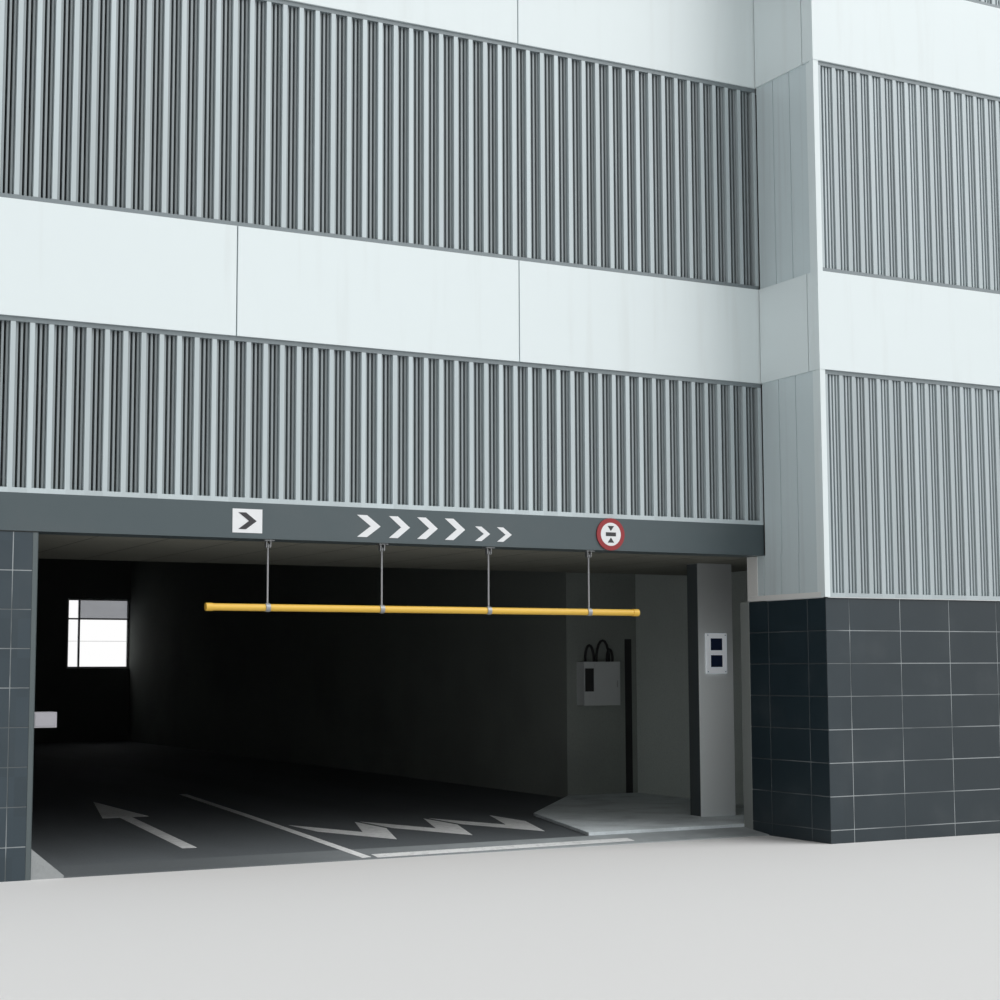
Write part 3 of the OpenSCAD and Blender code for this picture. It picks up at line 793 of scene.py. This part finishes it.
def painted_shape(field, corners):
    """A flat painted shape from (x, y) corners, counter-clockwise seen from above."""
    first = len(field.points)
    for lift in (-PAINT, PAINT):
        field.points += [Vector((x, y, floor_level(y) + lift)) for x, y in reversed(corners)]
    field.close(first, len(corners))


def stripe(field, width, *stops):
    """A painted line through (x, y) points; neighbours share their corners, so nothing overlaps."""
    stops = [Vector(stop) for stop in stops]
    edges = []
    for i, stop in enumerate(stops):
        along = (stops[min(i + 1, len(stops) - 1)] - stops[max(i - 1, 0)]).normalized()
        side = Vector((-along.y, along.x)) * width / 2
        edges.append((stop - side, stop + side))
    for (near_right, near_left), (far_right, far_left) in zip(edges, edges[1:]):
        painted_shape(field, [near_right, far_right, far_left, near_left])


print("the floor falls", SLOPE_RISE, "m over", round(SLOPE_END - THRESHOLD, 2), "m")

# %% [markdown]
# The lines and the arrow's shaft are stripes through a few points. The arrow's
# head and the chevrons are outlines, and all of them share one mesh.

# %% Lane line, stop line, arrow and chevrons
NARROW, BROAD = 0.09, 0.13
LANE_LINE = ((-0.11, -11.60), (-0.164, SLOPE_END), (0.01, -9.72), (0.262, -7.42), (0.60, -4.10))
STOP_LINE = ((-0.02, -11.56), (2.60, -11.50))
floor_lines = Prisms()
stripe(floor_lines, NARROW, *LANE_LINE)
stripe(floor_lines, BROAD, *STOP_LINE)

ARROW_TAIL, ARROW_NECK, ARROW_TIP = (-1.30, -10.43), (-0.94, -7.05), (-0.70, -4.75)
BARB = 0.25  # the arrow's head is twice this wide
neck_x, neck_y = ARROW_NECK
stripe(floor_lines, BROAD, ARROW_TAIL, ARROW_NECK)
painted_shape(floor_lines, [(neck_x + BARB, neck_y), ARROW_TIP, (neck_x - BARB, neck_y)])

NOSE_Y, TAIL_Y, ARM, PAINT_LENGTH = -10.65, -9.60, 0.36, 0.80
CHEVRON_CENTRES = (0.60, 1.38, 2.16)
for centre in CHEVRON_CENTRES:
    left, right = centre - ARM, centre + ARM
    painted_shape(floor_lines, [(centre, NOSE_Y), (right, TAIL_Y), (right, TAIL_Y + PAINT_LENGTH),
                                (centre, NOSE_Y + PAINT_LENGTH), (left, TAIL_Y + PAINT_LENGTH),
                                (left, TAIL_Y)])
floor_lines.make("floor_lines", [floor_paint])

# %% [markdown]
# ## Signs and marks
# The dark fascia carries a row of plain chevrons and a white square with one
# more. A mask in the finish would need a formula for each, so they are thin
# prisms of their outlines that stand 3 to 5 mm proud.

# %% Marks on the fascia
fascia = face("front")
FASCIA_FACE = lintel_low.y - FRONT
MARK, SKIN = 0.003, 0.001  # how far a mark and the thinnest sheets stand proud
ARM_SHARE = 0.42  # of a chevron's width
MARK_FOOT = lintel_low.z + 0.045
SQUARE_X, SQUARE_W, SQUARE_H = -1.36 - LEFT, 0.26, 0.20
ROW = ((-0.24, 0.22, 0.19), (0.06, 0.20, 0.19), (0.33, 0.20, 0.19), (0.60, 0.20, 0.19),
       (0.90, 0.15, 0.13), (1.12, 0.15, 0.13))  # place, width and height of each chevron


def chevron(x, z, width, height):
    """Corners of a chevron that points to the right, counter-clockwise."""
    arm = ARM_SHARE * width
    return [(x, z), (x + arm, z), (x + width, z + height / 2), (x + arm, z + height),
            (x, z + height), (x + width - arm, z + height / 2)]


marks = Prisms()
proud = (FASCIA_FACE - MARK, FASCIA_FACE + DIP)
marks.block((SQUARE_X, SQUARE_X + SQUARE_W), proud, (MARK_FOOT, MARK_FOOT + SQUARE_H), fascia)
for x, width, height in ROW:
    marks.prism(chevron(x - LEFT, MARK_FOOT, width, height), *proud, fascia)
on_square = chevron(SQUARE_X + 0.05, MARK_FOOT + 0.03, 0.16, 0.14)
marks.prism(on_square, FASCIA_FACE - 0.005, FASCIA_FACE, fascia, 1)
print(len(ROW) + 1, "chevrons")

# %% [markdown]
# The round sign is a solid with a red finish. A white disc on its face leaves the
# red rim, and a bar between two triangles makes a plain height symbol. The disc
# is a ring of points like any other outline.

# %% White field, bar and triangles of the round sign
DISC_POINTS, FIELD_R = 48, 0.108
SYMBOL = 0.002  # how far the dark shapes stand proud of the red rim
BAR_HALF_W, BAR_HALF_H = 0.055, 0.018
TIP, BASE, BASE_HALF_W = 0.030, 0.078, 0.035  # of a triangle, from the sign's centre
disc_low, disc_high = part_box("height_disc")
disc_face = disc_low.y - FRONT
disc_x, disc_z = (disc_low.x + disc_high.x) / 2 - LEFT, (disc_low.z + disc_high.z) / 2
turns = [2 * math.pi * i / DISC_POINTS for i in range(DISC_POINTS)]
white_field = [(disc_x + FIELD_R * math.cos(a), disc_z + FIELD_R * math.sin(a)) for a in turns]
marks.prism(white_field, disc_face - SKIN, disc_face + 0.002, fascia)
marks.block((disc_x - BAR_HALF_W, disc_x + BAR_HALF_W), (disc_face - SYMBOL, disc_face),
            (disc_z - BAR_HALF_H, disc_z + BAR_HALF_H), fascia, 1)
for way in (-1, 1):
    tip, base = disc_z + way * TIP, disc_z + way * BASE
    corners = [(disc_x, tip), (disc_x + way * BASE_HALF_W, base), (disc_x - way * BASE_HALF_W, base)]
    marks.prism(corners, disc_face - SYMBOL, disc_face, fascia, 1)
marks.make("fascia_marks", [sign_white, sign_black])

# %% [markdown]
# The white plate on the column has two dark squares and a screw near each corner.
# At this size a bevelled screw head would be lost, so all are thin blocks.

# %% Squares and screws on the column's plate
SQUARE_DROPS = (0.115, 0.29)  # from the plate's top to the middle of each square
SQUARE_LEFT, SQUARE_RIGHT, SQUARE_HALF = 0.075, 0.070, 0.062
SCREW_IN, SCREW_HALF = 0.02, 0.006
plate_low, plate_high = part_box("column_plate")
plate_x = (plate_low.x + plate_high.x) / 2
squares = Prisms()
for z in (plate_high.z - drop for drop in SQUARE_DROPS):
    squares.block((plate_x - SQUARE_LEFT, plate_x + SQUARE_RIGHT), (plate_low.y - SKIN, plate_low.y + DIP),
                  (z - SQUARE_HALF, z + SQUARE_HALF))
for x in (plate_low.x + SCREW_IN, plate_high.x - SCREW_IN):
    for z in (plate_low.z + SCREW_IN, plate_high.z - SCREW_IN):
        squares.block((x - SCREW_HALF, x + SCREW_HALF), (plate_low.y - MARK, plate_low.y),
                      (z - SCREW_HALF, z + SCREW_HALF), finish=1)
squares.make("plate_squares", [sign_navy, galvanised])

# %% [markdown]
# The front of the column is a pale sheet, and its flanks carry painted shade. A
# second material on some of the solid's faces would do as well. Two thin dark
# plates leave the solid its one finish and stop a little short of the front edge.

# %% Painted shade on the flanks of the column
FLANK = 0.002  # half the thickness of a plate
FRONT_GAP, END_GAP = 0.010, 0.004
column_low, column_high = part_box("gate_column")
flanks = Prisms()
for x in (column_low.x, column_high.x):
    flanks.block((x - FLANK, x + FLANK), (column_low.y + FRONT_GAP, column_high.y - CLEAR),
                 (column_low.z + END_GAP, column_high.z - END_GAP))
flanks.make("column_flanks", [shaded_column_flank])

# %% [markdown]
# The grey planks of the wing's side face end in a pale folded strip above the
# tiles, and the part that runs on into the entrance is capped by the same sheet.
# Both are plain blocks with a fine bevel, as a folded edge has.

# %% Pale trim of the side cladding
TRIM_H, CAP_W = 0.05, 0.17
TRIM, CORNER_GAP = 0.004, 0.022  # how far it stands proud, and its end before the corner
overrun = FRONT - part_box("return_cladding")[1].y  # negative: it runs inwards
plank_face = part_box("return_cladding")[0].x - WING
sheet = (plank_face - TRIM, plank_face + DIP)
trim = Prisms()
trim.block((overrun, LENGTHS["return"] - CORNER_GAP), sheet, (BASE_TOP, BASE_TOP + TRIM_H), face("return"))
trim.block((overrun, overrun + CAP_W), sheet, (BASE_TOP + TRIM_H, lintel_low.z - CLEAR), face("return"))
trim.make("return_trim", [pale_trim], bevel=0.0015)

# %% [markdown]
# The tiled wall below ends in a grey folded jamb, 150 mm deep, that closes the
# corner between the tiles and the recess. One bevelled block does for the folded
# sheet, because its inside never shows.

# %% Jamb at the end of the tiled wall
JAMB_W, JAMB_DEPTH, SUNK = 0.20, 0.15, 0.02
jamb = Prisms()
jamb.block((WING + TILE_FACE, WING + JAMB_W), (wall_high.y, wall_high.y + JAMB_DEPTH),
           (floor_high.z - SUNK, BASE_TOP))
jamb.make("return_jamb", [jamb_metal], bevel=0.004)

# %% [markdown]
# ## Boxes, cables and the slot in the recess
# The control box on the end wall has a door with a lock, a small dark display,
# and black cables that rise from its top. A dark slot runs down the wall beside
# it. A cable could be a curve object with a bevel. Rings of points along its path
# make the same tube, in one mesh with the rest.


# %% A tube along a path
def tube(field, path, radius, sides=8, finish=0):
    """A tube along a list of points, each ring square to the path."""
    first = len(field.points)
    path = [Vector(point) for point in path]
    for i, point in enumerate(path):
        along = (path[min(i + 1, len(path) - 1)] - path[max(i - 1, 0)]).normalized()
        across = along.orthogonal() if i == 0 else across - along * across.dot(along)
        across.normalize()
        other = along.cross(across)
        for k in range(sides):
            angle = 2 * math.pi * k / sides
            field.points.append(point + (across * math.cos(angle) + other * math.sin(angle)) * radius)
    for i in range(len(path) - 1):
        for k in range(sides):
            a, b = first + i * sides + k, first + i * sides + (k + 1) % sides
            field.loops.append((a, b, b + sides, a + sides))
    last = first + (len(path) - 1) * sides
    field.loops += [tuple(first + k for k in reversed(range(sides))), tuple(last + k for k in range(sides))]
    field.finishes += [finish] * ((len(path) - 1) * sides + 2)


# %% [markdown]
# Door, display, lock and slot are blocks that stand 3 to 10 mm proud. Each cable
# is half a wave that starts and ends at the height of the box's top.

# %% Door, display, lock, slot and cables
MARGIN, DOOR_LEFT = 0.015, 0.15  # of the door, from the box's edges
DISPLAY_X, DISPLAY_FOOT, DISPLAY_HEAD = (0.012, 0.135), 0.17, 0.08
LOCK_X, LOCK_Z = (0.05, 0.035), (0.22, 0.30)  # from the box's right edge and its foot
SLOT_X, SLOT_TOP = (5.28, 5.38), 1.97
CABLES = ((4.66, 0.16, 0.20), (4.82, 0.22, 0.26), (4.97, 0.12, 0.15))  # place, reach and rise
CABLE_R, CABLE_STEPS = 0.016, 10
CABLE_IN, CABLE_LEAN = 0.09, 0.07  # its start behind the door, and how far it leans back
box_low, box_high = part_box("wall_box")
door_y = box_low.y
recess = Prisms()
recess.block((box_low.x + DOOR_LEFT, box_high.x - MARGIN), (door_y - 0.004, door_y + DIP),
             (box_low.z + MARGIN, box_high.z - MARGIN))
recess.block([box_low.x + x for x in DISPLAY_X], (door_y - 0.003, door_y + DIP),
             (box_low.z + DISPLAY_FOOT, box_high.z - DISPLAY_HEAD), finish=1)
recess.block([box_high.x - x for x in LOCK_X], (door_y - 0.010, door_y),
             [box_low.z + z for z in LOCK_Z], finish=2)
recess.block(SLOT_X, (box_high.y - 0.003, box_high.y + DIP), (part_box("footway")[1].z, SLOT_TOP), finish=1)
turns = [math.pi * i / CABLE_STEPS for i in range(CABLE_STEPS + 1)]
for x, reach, rise in CABLES:
    arc = [(x + reach * (1 - math.cos(a)) / 2, door_y + CABLE_IN + CABLE_LEAN * (a / math.pi),
            box_high.z + rise * math.sin(a)) for a in turns]
    tube(recess, arc, CABLE_R, finish=1)
recess.make("recess_fittings", [light_paint, rubber, galvanised], bevel=0.0015)

# %% [markdown]
# The small box on the pier has raised covers on its lane side and its front. A
# groove cut into the box would show their outline too, but a CAD solid's mesh is
# never changed here, so each cover is a thin block with a margin around.

# %% Lid of the box on the pier
LID_IN, LID = 0.012, 0.003  # margin around a cover, and how far it stands proud
jamb_low, jamb_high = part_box("jamb_box")
lid_z = (jamb_low.z + LID_IN, jamb_high.z - LID_IN)
lid = Prisms()
lid.block((jamb_high.x - DIP, jamb_high.x + LID), (jamb_low.y + LID_IN, jamb_high.y - LID_IN), lid_z)
lid.block((jamb_low.x + 0.01, jamb_high.x - LID_IN), (jamb_low.y - LID, jamb_low.y + DIP), lid_z)
lid.make("jamb_box_lid", [box_grey], bevel=0.0015)

# %% [markdown]
# ## Window at the end of the lane
# The opening in the rear wall has a pale frame with a narrow upright and a
# crossbar. A grey pane closes the wide field above the crossbar, and the rest is
# open. The bars lie a little behind the uprights, so that no two faces share one
# plane, and the pane is tucked into them.

# %% Frame and pane of the rear opening
FRAME, FRAME_DEPTH, FRAME_IN = 0.045, 0.06, 0.12
BEHIND = 0.005  # from the uprights' faces to the bars'
MULLION = (0.26, 0.30)  # from the opening's left edge
CROSSBAR = (2.73, 2.765)  # heights
PANE_LEFT, PANE_Y, PANE_Z = 0.29, (0.02, 0.035), (2.75, HEAD - 0.03)
hole_low, hole_high = lane_x - OPENING_W, lane_x
frame_y = REAR - WALL_IN - FRAME_IN
window = Prisms()
for low, high in ((0.0, FRAME), (OPENING_W - FRAME, OPENING_W), MULLION):
    window.block((hole_low + low, hole_low + high), (frame_y, frame_y + FRAME_DEPTH), (SILL, HEAD))
for height in ((SILL, SILL + FRAME), (HEAD - FRAME, HEAD), CROSSBAR):
    window.block((hole_low + FRAME, hole_high - FRAME),
                 (frame_y + BEHIND, frame_y + FRAME_DEPTH - BEHIND), height)
window.block((hole_low + PANE_LEFT, hole_high - FRAME + BEHIND),
             [frame_y + y for y in PANE_Y], PANE_Z, finish=1)
window.make("rear_window_frame", [light_paint, tinted_glass], bevel=0.003)

# %% [markdown]
# ## Roof
# The open top deck repeats the bays of the storeys below as painted lines, and
# four small gratings drain it, each a dark square with five steel bars. Array
# modifiers could repeat them, but a loop puts everything into one mesh.

# %% Bay lines and drains on the roof
roof_low, roof_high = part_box("roof_deck")
BAY_W, BAY_DEPTH, LINE = 2.5, 5.0, 0.10
LINES_IN_ROW, FIRST_LINE = 9, roof_low.x + 1.6
ROWS = ((roof_low.y + 1.2, 1), (roof_high.y - 0.2, -1), (0.7, 1), (0.7, -1))  # start of each, and its way
DRAINS = [(x, y) for x in (-6.0, 6.0) for y in (-4.9, 6.2)]
PIT, BARS, BAR_STEP, BAR_W, BAR_HALF = 0.15, 5, 0.055, 0.02, 0.12
roof = Prisms()
for row_y, way in ROWS:
    ends = sorted((row_y, row_y + way * BAY_DEPTH))
    for i in range(LINES_IN_ROW):
        x = FIRST_LINE + i * BAY_W
        roof.block((x - LINE / 2, x + LINE / 2), ends, (roof_high.z - DIP, roof_high.z + PAINT))
for x, y in DRAINS:
    roof.block((x - PIT, x + PIT), (y - PIT, y + PIT), (roof_high.z - DIP, roof_high.z + 0.004), finish=1)
    for k in range(BARS):
        left = x - BAR_HALF + k * BAR_STEP
        roof.block((left, left + BAR_W), (y - BAR_HALF, y + BAR_HALF),
                   (roof_high.z, roof_high.z + 0.008), finish=2)
roof.make("roof_lines", [floor_paint, rubber, galvanised])

# %% [markdown]
# ## Camera
# The camera stands where the photograph was taken: at about eye height, left of
# the entrance, looking up and to the right. The focal length and the angles come
# from lining up the model's edges with the photograph.

# %% Camera at the photograph's place
FRAME_PX, FOCAL_PX, SENSOR = 1000, 1697.4, 36.0  # frame and focal length in pixels, sensor in mm
CAMERA_SPOT = (-5.934, -25.134, 1.608)
PITCH, YAW, ROLL = 5.682, 27.751, -0.231

camera_data = bpy.data.cameras.new("street_camera")
camera_data.sensor_fit = "HORIZONTAL"
camera_data.sensor_width = SENSOR
camera_data.lens = FOCAL_PX * SENSOR / FRAME_PX
camera_data.clip_end = 1000
camera = bpy.data.objects.new("street_camera", camera_data)
bpy.context.scene.collection.objects.link(camera)
turn = (Matrix.Rotation(math.radians(-YAW), 4, "Z") @ Matrix.Rotation(math.radians(90 + PITCH), 4, "X")
        @ Matrix.Rotation(math.radians(ROLL), 4, "Z"))
camera.matrix_world = Matrix.Translation(CAMERA_SPOT) @ turn
bpy.context.scene.camera = camera
print("lens", round(camera_data.lens, 2), "mm")

# %% [markdown]
# ## Light and floor
# The day is bright but overcast: a very broad lamp from the right front, and an
# even sky. The wing then throws the soft shade that the photograph shows beside
# the inner corner. The background is white only where the camera, a reflection
# or a glass ray looks at it, so it adds no light of its own.

# %% Sky and lamp
SKY, LAMP = 0.45, 2.25  # strengths
LAMP_SIDE, LAMP_HEIGHT, LAMP_BREADTH = 45.0, 42.0, 50.0  # degrees

scene = bpy.context.scene
scene.view_settings.view_transform = "Standard"
world = bpy.data.worlds.new("overcast")
scene.world = world
world.use_nodes = True
sky = world.node_tree
sky.nodes.clear()
seen = add_node(sky, "ShaderNodeLightPath", {}, {}, out="Is Camera Ray")
path = seen.socket.node
shown = seen.larger(Wire(path.outputs["Is Glossy Ray"])).larger(Wire(path.outputs["Is Transmission Ray"]))
strength = shown * (1 - SKY) + SKY
backdrop = add_node(sky, "ShaderNodeBackground", {}, {"Color": (1.0, 1.0, 1.0), "Strength": strength})
add_node(sky, "ShaderNodeOutputWorld", {}, {"Surface": backdrop})

lamp_data = bpy.data.lights.new("broad_lamp", "SUN")
lamp_data.energy = LAMP
lamp_data.angle = math.radians(LAMP_BREADTH)
lamp = bpy.data.objects.new("broad_lamp", lamp_data)
lamp.rotation_euler = (math.radians(90 - LAMP_HEIGHT), 0, math.radians(LAMP_SIDE))
scene.collection.objects.link(lamp)
print("lamp", LAMP, "sky", SKY)

# %% [markdown]
# The floor is one pale sheet that reaches far beyond the building, with a faint
# cloud in its tone. It is staged, which leaves it out of the object.

# %% Pale floor
REACH = 400.0
floor_coat = Finish("pale_floor")
floor_tone = floor_coat.mix(floor_coat.noise(0.25, 3) * 0.3, (0.78, 0.78, 0.775), (0.74, 0.74, 0.735))
floor_mesh = bpy.data.meshes.new("floor")
corners = [(-REACH, -REACH, 0), (REACH, -REACH, 0), (REACH, REACH, 0), (-REACH, REACH, 0)]
floor_mesh.from_pydata(corners, [], [(0, 1, 2, 3)])
floor_mesh.materials.append(floor_coat.coat(floor_tone, 0.7))
floor = bpy.data.objects.new("floor", floor_mesh)
scene.collection.objects.link(floor)
print("floor", 2 * REACH, "m wide")
